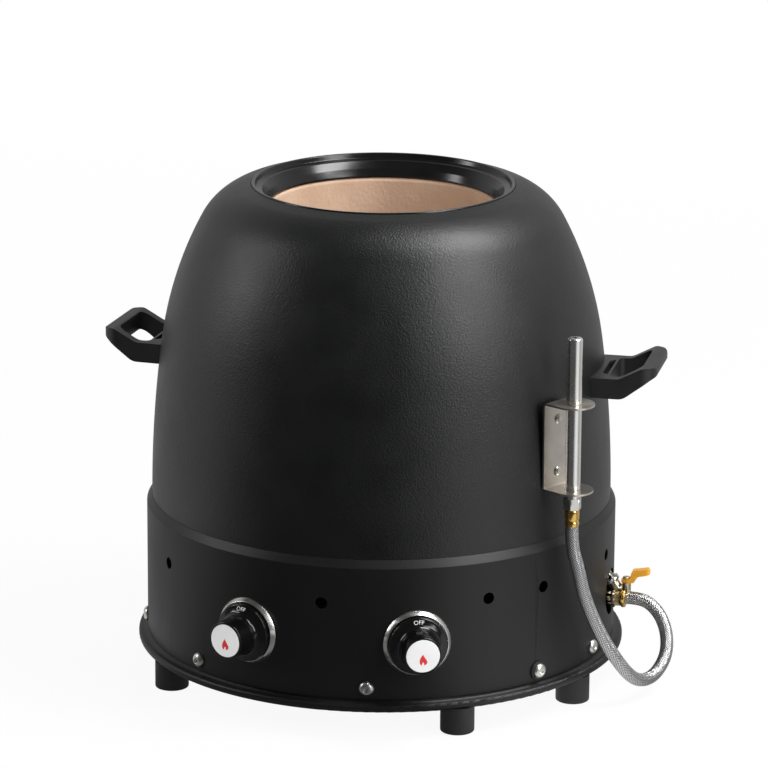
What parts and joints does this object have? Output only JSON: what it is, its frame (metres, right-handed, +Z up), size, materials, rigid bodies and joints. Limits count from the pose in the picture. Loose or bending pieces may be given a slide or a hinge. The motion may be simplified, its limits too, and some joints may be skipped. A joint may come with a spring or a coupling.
{
  "type": "clay tandoor oven",
  "caption": "Round gas-fired clay oven: bell shell over a clay pot with an open mouth, skirt with control knobs, side handles, pilot valve with a lighting wand on a braided hose.",
  "frame": {"origin": "on the floor, under the axis of the clay pot, at the level of the undersides of the feet", "axes": "+Z up along the pot axis; -Y is the front, midway between the two knobs; +X is the side with the pilot valve and the lighting wand"},
  "size_m": [0.6229, 0.5576, 0.5244],
  "materials": {
    "foot_rubber": "matte",
    "grommet_rubber": "matte",
    "zinc_steel": "satin",
    "black_coat": "satin",
    "stainless_screws": "satin",
    "ring_enamel": "gloss",
    "clay": "matte",
    "fill": "matte",
    "cast_iron": "matte",
    "heat_steel": "satin",
    "pipe_steel": "satin",
    "tap_brass": "satin",
    "bezel_steel": "satin",
    "knob_black": "gloss",
    "cap_grey": "matte",
    "handle_black": "matte",
    "feed_pipe": "satin",
    "union_nickel": "polished",
    "bright_brass": "polished",
    "lever_enamel": "gloss",
    "bracket_steel": "brushed",
    "wand_steel": "bright",
    "nut_steel": "satin",
    "braided_steel": "woven"
  },
  "bodies": {
    "oven": {"air_shutters": "zinc_steel", "base_pan": "black_coat", "bell_shell": "black_coat", "bracket_screws": "stainless_screws", "bracket_spacers": "stainless_screws", "burner_inner": "cast_iron", "burner_outer": "cast_iron", "burner_stand": "zinc_steel", "clay_pot": "clay", "feet": "foot_rubber", "flame_guard": "heat_steel", "foot_bolts": "zinc_steel", "gas_manifold": "pipe_steel", "handle_bolts": "zinc_steel", "inlet_fitting": "tap_brass", "inlet_grommet": "grommet_rubber", "insulation_fill": "fill", "left_bezel": "bezel_steel", "left_handle": "handle_black", "left_valve_body": "tap_brass", "leg_bolts": "zinc_steel", "mouth_ring": "ring_enamel", "pilot_feed_pipe": "feed_pipe", "pilot_hose": "braided_steel", "pilot_retaining_ring": "bright_brass", "pilot_union_nut": "union_nickel", "pilot_valve_body": "tap_brass", "pot_shelf": "black_coat", "right_bezel": "bezel_steel", "right_handle": "handle_black", "right_valve_body": "tap_brass", "rubber_washer": "grommet_rubber", "skirt": "black_coat", "skirt_nuts": "zinc_steel", "skirt_screws": "stainless_screws", "support_legs": "black_coat", "valve_clamps": "zinc_steel", "wand_bracket": "bracket_steel"},
    "left_tap_slide": {"left_spring_seat": "zinc_steel"},
    "left_tap_knob": {"left_valve_stem": "zinc_steel", "left_knob": "knob_black", "left_knob_cap": "cap_grey"},
    "right_tap_slide": {"right_spring_seat": "zinc_steel"},
    "right_tap_knob": {"right_valve_stem": "zinc_steel", "right_knob": "knob_black", "right_knob_cap": "cap_grey"},
    "pilot_lever_body": {"pilot_lever": "lever_enamel", "pilot_stem": "tap_brass"},
    "wand": {"wand_tube": "wand_steel", "wand_nut": "nut_steel", "wand_ferrule": "bright_brass"}
  },
  "joints": [
    {"name": "left_knob_push", "type": "slide", "parent": "oven", "child": "left_tap_slide", "axis": [0.3551, 0.9348, 0], "range_m": [0, 0.004], "stiffness_N_per_m": 1200, "springref_m": -0.002},
    {"name": "left_knob_turn", "type": "hinge", "parent": "left_tap_slide", "child": "left_tap_knob", "pos_m": [-0.08878, -0.23371, 0.1011], "axis": [-0.3551, -0.9348, 0], "range_deg": [0, 180]},
    {"name": "right_knob_push", "type": "slide", "parent": "oven", "child": "right_tap_slide", "axis": [-0.3551, 0.9348, 0], "range_m": [0, 0.004], "stiffness_N_per_m": 1200, "springref_m": -0.002},
    {"name": "right_knob_turn", "type": "hinge", "parent": "right_tap_slide", "child": "right_tap_knob", "pos_m": [0.08878, -0.23371, 0.1011], "axis": [0.3551, -0.9348, 0], "range_deg": [0, 180]},
    {"name": "pilot_lever_turn", "type": "hinge", "parent": "oven", "child": "pilot_lever_body", "pos_m": [0.2666, 0, 0.105], "axis": [0, 0, 1], "range_deg": [0, 90]},
    {"name": "wand_slide", "type": "slide", "parent": "oven", "child": "wand", "axis": [0, 0, -1], "range_m": [0, 0.1], "deforming": ["pilot_hose"]}
  ]
}
